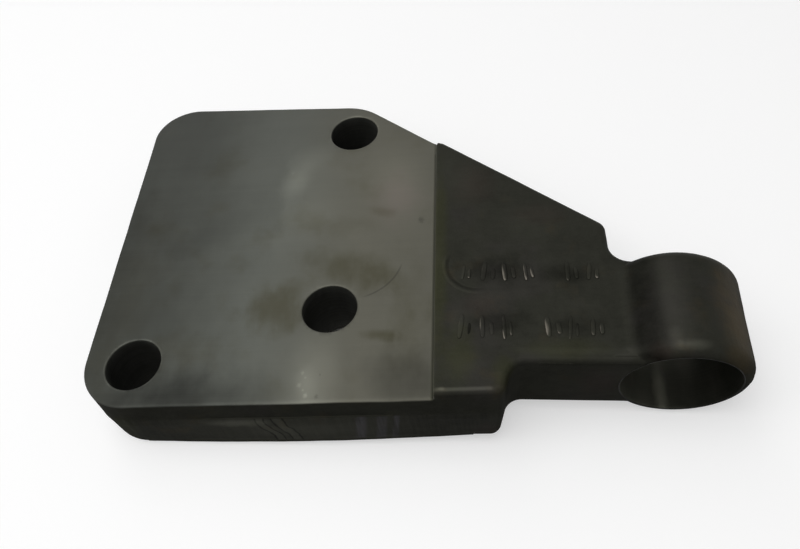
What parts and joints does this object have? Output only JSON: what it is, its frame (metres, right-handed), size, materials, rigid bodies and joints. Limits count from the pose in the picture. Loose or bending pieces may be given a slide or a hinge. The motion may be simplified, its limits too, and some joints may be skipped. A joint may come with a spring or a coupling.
{
  "type": "engine bracket",
  "caption": "Cast iron bracket: thick plate with a milled mounting pad and through bolt holes, and a short neck ending in a bored round lug.",
  "frame": {"origin": "centre of the middle bolt hole on the milled mounting pad", "axes": "+Z out of the pad along the bolt holes, +X along the plate towards the lug, +Y from the straight front edge towards the rear bolt hole"},
  "size_m": [0.2026, 0.1316, 0.0412],
  "materials": {
    "cast_iron": "as cast, with a milled pad and bored holes"
  },
  "bodies": {
    "root": {"bracket_casting": "cast_iron"}
  },
  "joints": []
}
